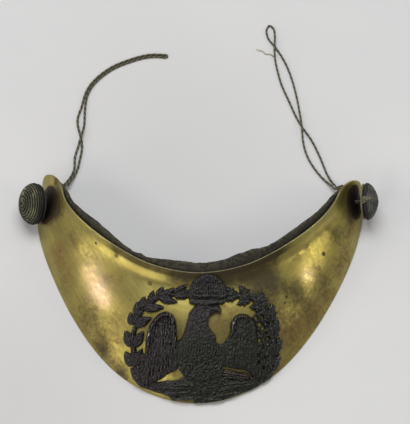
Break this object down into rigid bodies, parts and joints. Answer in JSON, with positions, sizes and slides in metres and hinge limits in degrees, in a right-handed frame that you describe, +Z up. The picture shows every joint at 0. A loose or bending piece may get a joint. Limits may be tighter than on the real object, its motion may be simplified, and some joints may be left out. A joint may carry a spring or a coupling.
{
  "type": "gorget",
  "caption": "Crescent-shaped domed brass gorget with a turned neck lip, raised eagle-and-wreath ornament, leather lining, covered side buttons and thin neck cords.",
  "frame": {"origin": "middle of the base of the gorget as it lies, without its cords", "axes": "+X to the viewer's right, +Y from the bottom of the crescent to its horns, +Z up from the table"},
  "size_m": [0.155, 0.1859, 0.0264],
  "materials": {
    "gilt_brass": "worn gilt brass with brown and olive tarnish",
    "leather": "dark worn leather",
    "tarnished_silver": "stamped silvered metal, blackened by tarnish",
    "button_cover": "wound metallic thread, dark",
    "button_back": "pale worn disc",
    "cord": "twisted metallic thread cord, dark"
  },
  "bodies": {
    "root": {"plate": "gilt_brass", "lining": "leather", "emblem": "tarnished_silver", "button_left": "button_cover", "button_right": "button_cover", "button_back_left": "button_back", "button_back_right": "button_back", "tie_left": "cord", "tie_right": "cord", "knot_left": "cord", "knot_right": "cord", "cord_left": "cord", "cord_right": "cord"}
  },
  "joints": []
}
